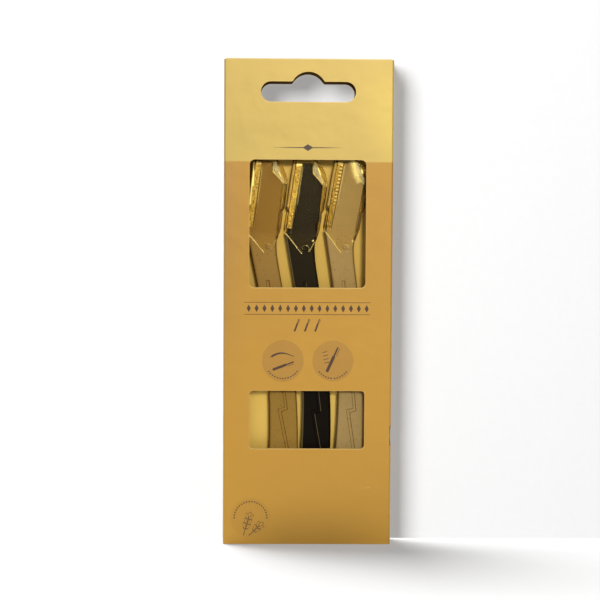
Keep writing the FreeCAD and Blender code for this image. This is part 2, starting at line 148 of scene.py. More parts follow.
class Finish:
    """The nodes of one material, or of the world, under construction."""

    def __init__(self, name, library="materials"):
        self.owner = getattr(bpy.data, library).new(name)
        self.owner.use_nodes = True
        self.tree = self.owner.node_tree
        self.tree.nodes.clear()
        self.output = OUTPUTS[library]

    def node(self, kind, settings=None, sockets=None, out=0):
        """Adds one node, sets it up, then gives its sockets values or links."""
        made = self.tree.nodes.new("ShaderNode" + kind)
        for name, setting in (settings or {}).items():
            setattr(made, name, setting)
        for key, given in (sockets or {}).items():
            if isinstance(given, Value):
                self.tree.links.new(given.socket, made.inputs[key])
            else:
                made.inputs[key].default_value = given
        return Value(self, made.outputs[out]) if made.outputs else None

    def outlets(self, value, keys):
        """Several outputs of the node that a value comes from."""
        outputs = value.socket.node.outputs
        return [Value(self, outputs[key]) for key in keys]

    def place(self):
        """The point on the object, in millimetres."""
        point = self.node("TexCoord", out="Object")
        return self.node("VectorMath", {"operation": "SCALE"}, {0: point, "Scale": 1 / MM})

    def split(self, vector):
        """A vector's x, y and z."""
        return self.outlets(self.node("SeparateXYZ", None, {0: vector}), range(3))

    def rays(self, *kinds):
        """1 for a ray of any of these kinds, 0 for every other."""
        found = self.outlets(self.node("LightPath"), [f"Is {kind} Ray" for kind in kinds])
        return reduce(Value.high, found)

    def vector(self, x, y, z):
        """Three numbers as one vector."""
        return self.node("CombineXYZ", None, {0: x, 1: y, 2: z})

    def scaled(self, vector, x, y, z):
        """A vector stretched along each axis, so that a noise is finer where the number is greater."""
        return self.node("VectorMath", {"operation": "MULTIPLY"}, {0: vector, 1: (x, y, z)})

    def distance(self, x, y):
        """How far a point lies from the zero of two numbers."""
        return (x * x + y * y) ** 0.5

    def noise(self, vector, scale, detail=2.0, rough=0.5):
        """A soft noise from 0 to 1; the scale is in waves per millimetre."""
        sockets = {"Vector": vector, "Scale": scale, "Detail": detail, "Roughness": rough}
        return self.node("TexNoise", None, sockets)

    def slab(self, x, z, half_width, half_height, corner):
        """Signed gap to a rectangle with round corners round zero: negative inside it."""
        out_x = abs(x) - (half_width - corner)
        out_z = abs(z) - (half_height - corner)
        return self.distance(out_x.high(0), out_z.high(0)) + out_x.high(out_z).low(0) - corner

    def stroke(self, x, z, start, end, width):
        """Signed gap to a round-ended stroke between two points."""
        along, up = end[0] - start[0], end[1] - start[1]
        from_x, from_z = x - start[0], z - start[1]
        share = ((from_x * along + from_z * up) / (along ** 2 + up ** 2)).high(0).low(1)
        return self.distance(from_x - share * along, from_z - share * up) - width / 2

    def trace(self, x, z, points, width):
        """Signed gap to a stroke that runs through several points."""
        gaps = [self.stroke(x, z, start, end, width) for start, end in zip(points, points[1:])]
        return reduce(Value.low, gaps)

    def ease(self, value, start, end):
        """0 at start, 1 at end, smooth between; start may be the greater."""
        sockets = {"Value": value, "From Min": start, "From Max": end}
        return self.node("MapRange", {"interpolation_type": "SMOOTHSTEP"}, sockets)

    def band(self, value, low, high, soft):
        """1 between two values, 0 outside them, with soft edges."""
        past_low = self.ease(value, low - soft, low + soft)
        return past_low * self.ease(value, high + soft, high - soft)

    def fill(self, gap, soft):
        """1 inside an outline, from the signed gap to it, over a soft edge."""
        return self.ease(gap, soft, -soft)

    def mix(self, share, first, second):
        """The first colour at a share of 0, the second at 1."""
        return self.node("Mix", {"data_type": "RGBA"}, {0: share, 6: first, 7: second}, out=2)

    def bump(self, height, distance, strength, under=None):
        """A normal raised by a height of 0 to 1 times a distance, over another normal if given."""
        sockets = {"Height": height, "Distance": distance * MM, "Strength": strength}
        if under is not None:
            sockets["Normal"] = under
        return self.node("Bump", None, sockets)

    def surface(self, **sockets):
        """The main surface shader; each socket's name is written as plain words."""
        titles = [words.replace("_", " ").title().replace("Ior", "IOR") for words in sockets]
        return self.node("BsdfPrincipled", None, dict(zip(titles, sockets.values())))

    def blend(self, share, first, second):
        """The first shader at a share of 0, the second at 1."""
        return self.node("MixShader", None, {0: share, 1: first, 2: second})

    def close(self, shader):
        """Joins the shader to the output and returns the finished material or world."""
        self.node(self.output, None, {"Surface": shader})
        return self.owner


# Camera

CAMERA_PLACE = (-0.012708, -0.5, 0.112868)
CAMERA_PITCH = math.radians(3.0866)
CAMERA_TURN = math.radians(1.1543)
CAMERA_ROLL = math.radians(0.3485)
CAMERA_LENS = 85.150
SENSOR_WIDTH = 36.0


def aim_camera():
    """Looks along +Y, turned towards +X, pitched down, then rolled about its own axis."""
    data = bpy.data.cameras.new("camera")
    data.lens = CAMERA_LENS
    data.sensor_width = SENSOR_WIDTH
    camera = bpy.data.objects.new("camera", data)
    turn = Matrix.Rotation(-CAMERA_TURN, 4, "Z")
    pitch = Matrix.Rotation(math.pi / 2 - CAMERA_PITCH, 4, "X")
    roll = Matrix.Rotation(CAMERA_ROLL, 4, "Z")
    camera.matrix_world = Matrix.Translation(CAMERA_PLACE) @ turn @ pitch @ roll
    bpy.context.scene.collection.objects.link(camera)
    bpy.context.scene.camera = camera


# Stage and light

# Linear greys: the paper's grain from dark to light, and the paper as bounced light meets it;
# then how strongly the paper glows, and how strong the sky is where it isn't looked at
PAPER_GREYS = (0.30, 0.32)
PAPER_BOUNCE = 0.1
STAGE_GLOW = 0.33
SKY_LEVEL = 0.20

FLOOR_REACH, FLOOR_GAP = 3.0, 0.0001
BACKDROP_HALF, BACKDROP_TOP, BACKDROP_GAP = 0.5, 0.6, 0.0004

PACK_MIDDLE = (0, 0, cad_box[1].z / 2)

# Soft boxes: place, the point that it faces, width and height, power, and the group that it lights
LAMPS = {
    "front_lamp": ((0.30, -2.15, 0.62), PACK_MIDDLE, (0.3, 0.3), 15.5, "pack"),
    "shadow_lamp": ((-0.75, -1.05, 0.80), PACK_MIDDLE, (0.7, 1.1), 69.0, "backdrop"),
    "head_lamp": ((-0.27, 0.22, 1.0), (-0.27, 0.22, 0), (0.5, 0.34), 31.0, "floor"),
    "back_lamp": ((0.7, 1.3, 0.8), PACK_MIDDLE, (0.9, 0.9), 16.0, "pack"),
}


def seen_directly(finish):
    """1 for the rays that look at the stage: camera, mirror and glass rays."""
    return finish.rays("Camera", "Glossy", "Transmission")


def stage_paper(name, see_through_light):
    """White paper that keeps shadows; its back, and for a backdrop all lamp light, passes through."""
    finish = Finish(name)
    seen = seen_directly(finish)
    paper = finish.mix(finish.noise(finish.place(), 0.4), *(grey(level) for level in PAPER_GREYS))
    paper = finish.mix(seen, grey(PAPER_BOUNCE), paper)
    matt = finish.node("BsdfDiffuse", None, {"Color": paper})
    glow = finish.node("Emission", None, {"Color": WHITE, "Strength": seen * STAGE_GLOW})
    lit_paper = finish.node("AddShader", None, {0: matt, 1: glow})
    hidden = finish.node("NewGeometry", out="Backfacing")
    if see_through_light:
        hidden = hidden.high(1 - seen)
    return finish.close(finish.blend(hidden, lit_paper, finish.node("BsdfTransparent")))


def sheet_of_paper(name, corners, material):
    """One flat sheet of the stage."""
    mesh = bpy.data.meshes.new(name)
    mesh.from_pydata(corners, [], [(0, 1, 2, 3)])
    mesh.materials.append(material)
    sheet = bpy.data.objects.new(name, mesh)
    bpy.context.scene.collection.objects.link(sheet)
    return sheet


def lit_group(name, members):
    """A collection that a lamp can be told to light by itself."""
    group = bpy.data.collections.new(name)
    for member in members:
        group.objects.link(member)
    return group


def soft_lamp(name, place, target, size, power, group):
    """A soft box that faces its target; its light falls on one group alone."""
    data = bpy.data.lights.new(name, "AREA")
    data.shape = "RECTANGLE"
    data.size, data.size_y = size
    data.energy = power
    lamp = bpy.data.objects.new(name, data)
    towards = Vector(target) - Vector(place)
    lamp.matrix_world = Matrix.Translation(place) @ towards.to_track_quat("-Z", "Y").to_matrix().to_4x4()
    bpy.context.scene.collection.objects.link(lamp)
    lamp.visible_transmission = False
    lamp.light_linking.receiver_collection = group


def white_sky():
    """A world that is white where it is looked at, and a weaker fill light elsewhere."""
    finish = Finish("studio", "worlds")
    level = finish.node("MapRange", None, {"Value": seen_directly(finish), "To Min": SKY_LEVEL})
    return finish.close(finish.node("Background", None, {"Color": WHITE, "Strength": level}))


def set_stage(pieces):
    """A white floor under the pack, a white backdrop close behind it, and soft light on its pieces."""
    far, under = FLOOR_REACH, -FLOOR_GAP
    ground = [(-far, -far, under), (far, -far, under), (far, far, under), (-far, far, under)]
    half, top, behind = BACKDROP_HALF, BACKDROP_TOP, cad_box[1].y + BACKDROP_GAP
    wall = [(-half, behind, under), (half, behind, under), (half, behind, top), (-half, behind, top)]
    members = {
        "floor": [sheet_of_paper("floor", ground, stage_paper("floor_paper", False))],
        "backdrop": [sheet_of_paper("backdrop", wall, stage_paper("backdrop_paper", True))],
        "pack": pieces,
    }
    groups = {name: lit_group(f"{name}_group", members[name]) for name in members}
    for name, (place, target, size, power, group) in LAMPS.items():
        soft_lamp(name, place, target, size, power, groups[group])
    bpy.context.scene.world = white_sky()


# Carton board: its build

HALF_WIDTH, HALF_DEPTH, PACK_TOP = (reach / MM for reach in cad_box[1])
FOLD_RADIUS = 0.7

# Openings of the front: middle, width, low, high, corner
UPPER_WINDOW = (-0.2, 40.6, 90.5, 135.0, 1.8)
LOWER_WINDOW = (-0.1, 40.3, 33.9, 54.25, 1.3)
HANG_SLOT = (-0.2, 33.0, 155.0, 162.0, 3.49)

# The thumb notch: height, radius, breadth of its edge, and where in from the right its board ends
NOTCH_UP, NOTCH_RADIUS, NOTCH_EDGE, NOTCH_BOARD = 38.5, 3.5, 0.04, (0.45, 0.40)

# Depths, negative inwards, at which the printed skin and the inside's bare paper start and are full
SKIN_DEPTH = (-0.10, -0.04)
INSIDE_DEPTH = (-0.355, -0.385)

# How far in from the front's face the print counts as the front's, from none to all of it
FRONT_SKIN = (0.06, 0.02)


def board_depth(finish, x, y):
    """Signed gap from the sleeve's outer skin, a rounded box in plan: 0 outside, -0.4 inside."""
    return finish.slab(x, y, HALF_WIDTH, HALF_DEPTH, FOLD_RADIUS)


def window_gap(finish, x, z, window):
    """Signed gap to an opening of the front: negative inside it."""
    middle, width, low, high, corner = window
    return finish.slab(x - middle, z - (low + high) / 2, width / 2, (high - low) / 2, corner)


# Carton board: what is printed on the front in ink

PRINT_MIDDLE = -0.2
HEADER_MIDDLE = -0.3

# Three printed rounds: across, up, radius
BROW_DISC = (-8.6, 64.8, 7.3)
RAZOR_DISC = (8.9, 64.8, 7.2)
WHEAT_DISC = (-19.7, 9.3, 7.05)

# Dots on an arc: pitch and radius; an arc's middle, counted from straight up, and half its angle
DOT_PITCH, DOT_RADIUS = 0.95, 0.26
LOWER_ARC = (math.pi, math.radians(55))
UPPER_ARC = (0.0, math.radians(95))

# A row of lozenges between two rules, a row of small razors under it, and the header's rule
LOZENGE_PITCH, LOZENGE_HALF, LOZENGE_SLOPE = 2.75, 1.35, 1.9
TITLE_UP, TITLE_HALF = 83.2, 22.0
TITLE_RULE_GAP, TITLE_RULE_HALF = 2.1, 0.09
RAZOR_ROW, ROW_RAZOR = (-3.6, 0.0, 3.6), ((-0.9, 75.4), (0.5, 79.4), 0.62)
HEADER_RULE_UP, HEADER_RULE_REACH, HEADER_RULE_HALF = 139.2, 12.0, 0.16
HEADER_LOZENGE_HALF, HEADER_LOZENGE_SLOPE = 1.15, 0.62

# A drawn razor: where its neck and its blade start, as shares of its length,
# then how broad its head, its blade's gap and its blade are, as shares of its width
RAZOR_NECK, RAZOR_BLADE_START = 0.60, 0.08
RAZOR_HEAD, RAZOR_BLADE_GAP, RAZOR_BLADE = 0.55, 0.75, 0.16

# A drawn brow: its bend in radians, and its arch, rise and half thickness as shares of its length;
# then how much of the thickness is lost to the tip, and the share of the length that its start takes
BROW_BEND, BROW_ARCH, BROW_RISE, BROW_HALF = 3.6, 0.13, 0.10, 0.055
BROW_TAPER, BROW_START = 0.85, 0.12

# A drawn ear of wheat. Its grains: pitch, length, lean, fatness as a share of the pitch.
# Then the height at which they start and half the line that draws them. The grain at the tip: its
# height above the foot but for the pairs below it, radius, how much slimmer than round, half its line.
GRAIN_PITCH, GRAIN_LENGTH, GRAIN_LEAN, GRAIN_FATNESS = 1.75, 1.45, 1.1, 0.46
EAR_START, EAR_LINE = 1.6, 0.12
EAR_TIP_UP, EAR_TIP_RADIUS, EAR_TIP_SLIMNESS, EAR_TIP_LINE = 2.4, 0.95, 1.7, 0.10

# Drawings in the rounds, from each round's middle. A brow: left, up, length. A razor: foot, tip, width.
# Hairs: count, first one's left end, step to the next, reach, width. An ear: foot, tilt, pairs of grains.
BROW = (-4.6, 1.2, 8.6)
BROW_RAZOR = ((-3.2, -3.0), (3.6, -0.4), 0.9)
LONE_RAZOR = ((-1.9, -3.4), (1.7, 4.6), 1.05)
HAIRS, HAIR_START, HAIR_STEP, HAIR_REACH, HAIR_WIDTH = 4, (-3.6, 3.0), (0.25, -1.25), (1.5, 0.35), 0.22
EARS = (((-2.5, -6.2), math.radians(17), 3), ((-0.6, -6.3), math.radians(47), 2))
DOT_INSET, WHEAT_DOT_INSET = 1.1, 1.3


def dotted_arc(finish, x, z, ring, middle, half):
    """Small dots on an arc of a ring round zero."""
    turn = x.angle_from(z)
    dot = finish.distance((turn * ring).repeat(DOT_PITCH), finish.distance(x, z) - ring) - DOT_RADIUS
    swing = abs(abs(turn) - middle)
    return dot.high((swing - half) * ring)


def brow_arch(finish, x, z, left, up, length):
    """A brow: an arch that starts broad at the left and thins out to the right."""
    share = (x - left) / length
    lift = (share * BROW_BEND).wave() * length * BROW_ARCH + share * length * BROW_RISE
    half = (1 - share * BROW_TAPER) * length * BROW_HALF * finish.ease(share, 0, BROW_START)
    gap = abs(z - up - lift) - half
    return gap.high(left - x).high(x - left - length)


def small_razor(finish, x, z, foot, tip, width):
    """A slim razor seen flat: handle, thinner head and a fine blade line beside it."""
    foot, tip = Vector(foot), Vector(tip)
    along = tip - foot
    aside = Vector((along.y, -along.x)).normalized() * width * RAZOR_BLADE_GAP
    neck = foot + along * RAZOR_NECK
    handle = finish.stroke(x, z, foot, neck, width)
    head = finish.stroke(x, z, neck, tip, width * RAZOR_HEAD)
    blade_foot = neck + along * RAZOR_BLADE_START + aside
    blade = finish.stroke(x, z, blade_foot, tip + aside, width * RAZOR_BLADE)
    return handle.low(head).low(blade)


def wheat_ear(finish, x, z, foot, tilt, pairs):
    """Outlined grains in pairs up a stem: leaf shapes that lean upwards, and one more at the tip."""
    cosine, sine = math.cos(tilt), math.sin(tilt)
    from_x, from_z = x - foot[0], z - foot[1]
    along = from_x * sine + from_z * cosine
    reach = abs(from_x * cosine - from_z * sine)
    top = EAR_START + pairs * GRAIN_PITCH
    lean = along - reach * GRAIN_LEAN
    inside = (reach / GRAIN_LENGTH).high(0).low(1)
    leaf = (inside * math.pi).wave() * GRAIN_PITCH * GRAIN_FATNESS
    grain = abs(abs(lean.repeat(GRAIN_PITCH)) - leaf) - EAR_LINE
    grain = grain.high(reach - GRAIN_LENGTH).high(EAR_START - lean).high(lean - top)
    tip_up = EAR_TIP_UP + pairs * GRAIN_PITCH
    tip = finish.distance(reach * EAR_TIP_SLIMNESS, along - tip_up) - EAR_TIP_RADIUS
    stem = (reach - EAR_LINE).high(-along).high(along - top)
    return grain.low(abs(tip) - EAR_TIP_LINE).low(stem)


def title_row(x, z):
    """A row of lozenges between two thin rules."""
    up = abs(z - TITLE_UP)
    lozenge = abs(x.repeat(LOZENGE_PITCH)) * LOZENGE_SLOPE + up - LOZENGE_HALF
    rules = abs(up - TITLE_RULE_GAP) - TITLE_RULE_HALF
    return lozenge.low(rules).high(abs(x - PRINT_MIDDLE) - TITLE_HALF)


def razor_row(finish, x, z):
    """Small razors side by side, each leaning a little to the right."""
    return reduce(Value.low, [small_razor(finish, x - middle, z, *ROW_RAZOR) for middle in RAZOR_ROW])


def header_rule(x, z):
    """A rule that thins out to both ends, with one lozenge in its middle."""
    aside, up = abs(x - HEADER_MIDDLE), abs(z - HEADER_RULE_UP)
    rule = up - HEADER_RULE_HALF * (1 - (aside / HEADER_RULE_REACH) ** 2)
    lozenge = aside * HEADER_LOZENGE_SLOPE + up - HEADER_LOZENGE_HALF
    return rule.high(aside - HEADER_RULE_REACH).low(lozenge)


def brow_round(finish, x, z, radius):
    """A brow over a small razor, with dots round the foot."""
    brow = brow_arch(finish, x, z, *BROW)
    razor = small_razor(finish, x, z, *BROW_RAZOR)
    return brow.low(razor).low(dotted_arc(finish, x, z, radius - DOT_INSET, *LOWER_ARC))


def razor_round(finish, x, z, radius):
    """A razor with short hairs beside its head, and dots round the foot."""
    shapes = [small_razor(finish, x, z, *LONE_RAZOR)]
    for step in range(HAIRS):
        left, up = HAIR_START[0] + step * HAIR_STEP[0], HAIR_START[1] + step * HAIR_STEP[1]
        end = (left + HAIR_REACH[0], up + HAIR_REACH[1])
        shapes.append(finish.stroke(x, z, (left, up), end, HAIR_WIDTH))
    shapes.append(dotted_arc(finish, x, z, radius - DOT_INSET, *LOWER_ARC))
    return reduce(Value.low, shapes)


def wheat_round(finish, x, z, radius):
    """Ears of wheat that spread from the foot, with dots over the top."""
    ears = reduce(Value.low, [wheat_ear(finish, x, z, *ear) for ear in EARS])
    return ears.low(dotted_arc(finish, x, z, radius - WHEAT_DOT_INSET, *UPPER_ARC))


# What is drawn inside each round, with zero in its middle
ROUNDS = {BROW_DISC: brow_round, RAZOR_DISC: razor_round, WHEAT_DISC: wheat_round}


def carton_print(finish, x, z):
    """All that is printed in ink on the front, as one signed gap."""
    shapes = [title_row(x, z), razor_row(finish, x, z), header_rule(x, z)]
    for (across, up, radius), drawing in ROUNDS.items():
        shapes.append(drawing(finish, x - across, z - up, radius))
    return reduce(Value.low, shapes)


# Carton board: its gold, wear and cut edges

# Screen colours, as a pair where a noise runs from one to the other
HEADER_GOLD = (hue(212, 180, 92), hue(230, 196, 98))
# Painted sheen towards the header's right
HEADER_PAINTED_SHEEN = hue(246, 212, 96)
BODY_GOLD = (hue(196, 145, 52), hue(212, 158, 52))
# Painted light that lifts the body low down
BODY_PAINTED_LIFT = hue(222, 166, 58)
# Painted dark reflection along the foot
FOOT_SHADE = hue(190, 140, 44)
# Painted shade up the body's left side
LEFT_PAINTED_SHADE = hue(196, 148, 74)
ROUND_GOLD = hue(202, 149, 58)
INK = hue(66, 30, 10)
# The next two are painted highlights: on the openings' die-cut lips and on the folds at the left and the
# top
LIP_PAINTED_HIGHLIGHT = hue(242, 206, 122)
FOLD_PAINTED_HIGHLIGHT = hue(252, 236, 196)
SCUFF_PALE = hue(246, 226, 170)
NICK_PALE = hue(240, 208, 136)
INSIDE_PAPER = (hue(150, 112, 46), hue(172, 130, 60))
BOARD_CORE = (hue(206, 172, 96), hue(228, 196, 122))
NOTCH_SHADE = hue(104, 72, 28)

# Where a tone starts and where it is full; the header's sheen, the lift low down, the foot's dark and the
# left's shade are painted.
# The foot's painted dark wanes to both sides over FOOT_ACROSS, and its upper end waves by FOOT_WAVE.
PRINT_LINE = (134.05, 134.55)
PAINTED_SHEEN_SLANT, PAINTED_SHEEN_ACROSS, PAINTED_SHEEN_UP = 0.35, (66, 84), (170, 150)
PAINTED_LIFT_UP = (128, 50)
FOOT_MIDDLE, FOOT_ACROSS, FOOT_UP, FOOT_WAVE = 2, (4, 30), (22, 4), 6
LEFT_ACROSS, LEFT_UP = (20, 29), (40, 120)
ROUND_SLANT, ROUND_FADE = 0.3, (0, 66)

# Soft edges of what is printed or worn into the front: half their breadth
ROUND_SOFT, INK_SOFT, LIP_SOFT, NICK_SOFT = 0.12, 0.09, 0.10, 0.15

# A painted highlight on the die-cut lip round each opening, strongest below it: its width, and the heights
# from weak to strong
LIP_WIDTH, LIP_BELOW = 0.30, (1.2, -0.1)

# How far in from an edge it starts and is full: a fold's painted highlight, a crease's wear; and a nick in
# the print: its ends and width
LEFT_FOLD, TOP_FOLD, FRONT_FOLD = (0.42, 0.18), (0.5, 0.15), (1.0, 0.5)
SIDE_CREASE, FACE_CREASE = (0.6, 0.0), (1.0, 0.0)
NICK_START, NICK_END, NICK_WIDTH = (20.9, 20.0), (22.3, 20.1), 0.3


def header_gold(finish, clouds, x, z):
    """Light gold with a painted sheen towards its right."""
    gleam = finish.ease(x + z * PAINTED_SHEEN_SLANT, *PAINTED_SHEEN_ACROSS) * finish.ease(z, *PAINTED_SHEEN_UP)
    return finish.mix(gleam * 0.5, finish.mix(clouds, *HEADER_GOLD), HEADER_PAINTED_SHEEN)


def body_gold(finish, clouds, point, x, z):
    """Deeper gold, with painted light lifting it further down, a painted dark reflection at the foot and
    painted shade up the left side.
    """
    gold = finish.mix(finish.ease(z, *PAINTED_LIFT_UP), finish.mix(clouds, *BODY_GOLD), BODY_PAINTED_LIFT)
    foot = finish.ease(z + finish.noise(point, 0.03, 1.0) * FOOT_WAVE, *FOOT_UP)
    foot = foot * (1 - finish.ease(abs(x - FOOT_MIDDLE), *FOOT_ACROSS) * 0.9)
    gold = finish.mix(foot * 0.8, gold, FOOT_SHADE)
    left = finish.ease(-x, *LEFT_ACROSS) * finish.ease(z, *LEFT_UP)
    return finish.mix(left * 0.5, gold, LEFT_PAINTED_SHADE)


def add_rounds(finish, gold, front, x, z):
    """The plain discs under the drawings, fainter towards the foot and the left."""
    gaps = []
    for across, up, radius in ROUNDS:
        gaps.append(finish.distance(x - across, z - up) - radius)
    strength = 0.35 + finish.ease(z + x * ROUND_SLANT, *ROUND_FADE) * 0.65
    rounds = finish.fill(reduce(Value.low, gaps), ROUND_SOFT)
    return finish.mix(rounds * front * strength, gold, ROUND_GOLD)


def add_wear_and_highlights(finish, gold, front, point, x, y, z):
    """Painted highlights on the openings' lips and on the folds at the left and the top, scuffed creases
    and a nick.
    """
    for window in (UPPER_WINDOW, LOWER_WINDOW, HANG_SLOT):
        # Painted highlight on each opening's die-cut lip
        lip_highlight = finish.fill(window_gap(finish, x, z, window) - LIP_WIDTH, LIP_SOFT) * front
        below = finish.ease(z - window[2], *LIP_BELOW)
        gold = finish.mix(lip_highlight * (0.18 + below * 0.5), gold, LIP_PAINTED_HIGHLIGHT)
    # Painted highlight on the folds at the left and the top
    fold = finish.ease(x + HALF_WIDTH, *LEFT_FOLD).high(finish.ease(PACK_TOP - z, *TOP_FOLD))
    fold = fold * finish.ease(y + HALF_DEPTH, *FRONT_FOLD)
    gold = finish.mix(fold * 0.75, gold, FOLD_PAINTED_HIGHLIGHT)
    crease = finish.ease(HALF_WIDTH - abs(x), *SIDE_CREASE)
    crease = crease * finish.ease(HALF_DEPTH - abs(y), *FACE_CREASE)
    scuff = finish.ease(finish.noise(point, 1.7, 4.0, 0.7), 0.5, 0.75)
    gold = finish.mix(crease * scuff * 0.5, gold, SCUFF_PALE)
    nick = finish.fill(finish.stroke(x, z, NICK_START, NICK_END, NICK_WIDTH), NICK_SOFT)
    return finish.mix(nick * front * 0.5, gold, NICK_PALE)


def notch_edge(finish, x, y, z):
    """1 on the thumb notch's cut edge, in the right panel's board."""
    rim = finish.distance(y + HALF_DEPTH, z - NOTCH_UP) - NOTCH_RADIUS - NOTCH_EDGE
    return finish.fill(rim, NOTCH_EDGE) * finish.ease(HALF_WIDTH - x, *NOTCH_BOARD)


def gold_print(name):
    """Satin gold print, lighter above the windows, on a pale board that shows at its cut edges."""
    finish = Finish(name)
    point = finish.place()
    x, y, z = finish.split(point)
    depth = board_depth(finish, x, y).high(z - PACK_TOP)
    printed = finish.ease(depth, *SKIN_DEPTH)
    front = finish.ease(y + HALF_DEPTH, *FRONT_SKIN)

    clouds = finish.noise(point, 0.035)
    header, body = header_gold(finish, clouds, x, z), body_gold(finish, clouds, point, x, z)
    gold = add_rounds(finish, finish.mix(finish.ease(z, *PRINT_LINE), body, header), front, x, z)
    ink = finish.fill(carton_print(finish, x, z), INK_SOFT) * front
    gold = add_wear_and_highlights(finish, finish.mix(ink * 0.95, gold, INK), front, point, x, y, z)

    core = finish.mix(finish.noise(point, 6.0), *BOARD_CORE)
    paper = finish.mix(finish.noise(point, 2.5, 3.0), *INSIDE_PAPER)
    colour = finish.mix(finish.ease(depth, *INSIDE_DEPTH), finish.mix(printed, core, gold), paper)
    colour = finish.mix(notch_edge(finish, x, y, z) * 0.85, colour, NOTCH_SHADE)

    fibre = finish.noise(finish.scaled(point, 3.0, 3.0, 1.2), 1.0, 4.0, 0.6)
    ripple = finish.noise(point, 0.10)
    shader = finish.surface(
        base_color=colour,
        metallic=printed * (1 - ink) * 0.25,
        roughness=0.62 - printed * 0.22 + fibre * 0.08,
        normal=finish.bump(fibre, 0.05, 0.35, finish.bump(ripple, 0.6, 0.25)),
    )
    return finish.close(shader)


# Tray card

CARD_GOLD = (hue(246, 200, 86), hue(255, 216, 102))
CARD_SHADED = (hue(206, 166, 60), hue(216, 174, 70))
CARD_SHADED_UP = (56, 92)


def card_gold(name):
    """Bright gold card with a fine fibre, in the carton's shade behind the upper window."""
    finish = Finish(name)
    point = finish.place()
    _, _, z = finish.split(point)
    clouds = finish.noise(point, 0.05)
    fibre = finish.noise(finish.scaled(point, 3.0, 3.0, 1.0), 1.2, 4.0, 0.6)
    low, high = finish.mix(clouds, *CARD_GOLD), finish.mix(clouds, *CARD_SHADED)
    shader = finish.surface(
        base_color=finish.mix(finish.ease(z, *CARD_SHADED_UP), low, high),
        metallic=0.35,
        roughness=0.38 + fibre * 0.08,
        normal=finish.bump(fibre, 0.05, 0.3),
    )
    return finish.close(shader)


# Handles

# Each plastic's screen colours: handle in two tones, neck (a painted sheen on the black one), head plate,
# dark and light flecks (the dark one also paints shade on side slopes), and the painted shading of
# left-facing slopes: shade on tan and greige, a highlight on black
PLASTIC_TONES = {
    "tan_straw": {
        "handle_dark": (194, 147, 60), "handle_light": (211, 165, 76),
        "neck": (208, 160, 76), "plate": (190, 142, 60),
        "fleck_dark": (104, 70, 20), "fleck_light": (212, 176, 112), "left_slope_painted_shading": (112, 78, 26),
    },
    "black_straw": {
        "handle_dark": (14, 9, 3), "handle_light": (24, 16, 6),
        "neck": (50, 40, 20), "plate": (29, 21, 8),
        "fleck_dark": (8, 6, 3), "fleck_light": (70, 58, 38), "left_slope_painted_shading": (188, 166, 112),
    },
    "greige_straw": {
        "handle_dark": (215, 177, 106), "handle_light": (231, 194, 122),
        "neck": (228, 186, 108), "plate": (224, 186, 114),
        "fleck_dark": (116, 88, 44), "fleck_light": (236, 212, 166), "left_slope_painted_shading": (120, 92, 48),
    },
}

# Each slot's plastic, how strongly its flecks show, its roughness and its gloss
PLASTICS = {
    "tan_plastic": ("tan_straw", 0.6, 0.42, 0.12),
    "black_plastic": ("black_straw", 0.4, 0.36, 0.05),
    "greige_plastic": ("greige_straw", 0.6, 0.42, 0.12),
}

# Heights over which the handle's tone turns into the neck's and the plate's; on the black plastic the
# neck's lighter tone is a painted sheen
NECK_UP, PLATE_UP = (60, 95), (105, 112)

# Flecks: tone, stretch of the point, the noise's settings, and its values from no fleck to all of it
FLECKS = (
    ("fleck_dark", (1.6, 1.6, 0.7), (1.3, 3.0, 0.65), (0.60, 0.74)),
    ("fleck_light", (1.1, 1.1, 0.5), (2.3, 2.0, 0.5), (0.66, 0.76)),
    ("fleck_dark", (1.0, 1.0, 0.8), (1.1, 1.0, 0.5), (0.72, 0.76)),
)

# How far a face turns to the front, away from it and to the left, from no tone to all of it; these set the
# painted shade of side slopes and the painted shading of left-facing slopes
FACING_FRONT, FACING_ASIDE, FACING_LEFT = (0.2, 0.45), (0.35, 0.8), (0.3, 0.7)


def straw_plastic(name, fleck_share, rough, gloss):
    """Matt moulded plastic with straw flecks longer along the handle, painted shade on its side slopes and
    painted shading on its left-facing slopes; the black one has a painted sheen up its neck.
    """
    finish = Finish(name)
    tone = {part: hue(*screen) for part, screen in PLASTIC_TONES[name].items()}
    point = finish.place()
    _, _, z = finish.split(point)
    colour = finish.mix(finish.noise(point, 0.12, 3.0, 0.6), tone["handle_dark"], tone["handle_light"])
    colour = finish.mix(finish.ease(z, *NECK_UP), colour, tone["neck"])
    colour = finish.mix(finish.ease(z, *PLATE_UP), colour, tone["plate"])

    shades = []
    for fleck, stretch, texture, limits in FLECKS:
        shades.append(finish.noise(finish.scaled(point, *stretch), *texture))
        colour = finish.mix(finish.ease(shades[-1], *limits) * fleck_share, colour, tone[fleck])
    broadest = shades[0]

    out_x, out_y, out_z = finish.split(finish.node("TexCoord", out="Normal"))
    forward = finish.ease(-out_y, *FACING_FRONT)
    painted_slope_shade = finish.ease(finish.distance(out_x, out_z), *FACING_ASIDE) * forward
    painted_left_shading = finish.ease(-out_x, *FACING_LEFT) * forward
    # Painted shade on side slopes, then painted shading on left-facing slopes: shade on tan and greige, a
    # highlight on black
    colour = finish.mix(painted_slope_shade * 0.6, colour, tone["fleck_dark"])
    colour = finish.mix(painted_left_shading * 0.6, colour, tone["left_slope_painted_shading"])
    shader = finish.surface(
        base_color=colour,
        roughness=rough + broadest * 0.12,
        specular_ior_level=gloss,
        normal=finish.bump(finish.noise(point, 7.0, 3.0), 0.02, 0.4, finish.bump(broadest, 0.10, 0.35)),
    )
    return finish.close(shader)


# Heads: blades and guards

# Each razor's elbow: across, up, and its own lean in degrees; all heads lean further by the same angle
ELBOWS = {"left": (-15.90, 109.3, -1.6), "middle": (-2.33, 108.8, 0.0), "right": (11.60, 109.3, 1.4)}
HEAD_LEAN = 8.4

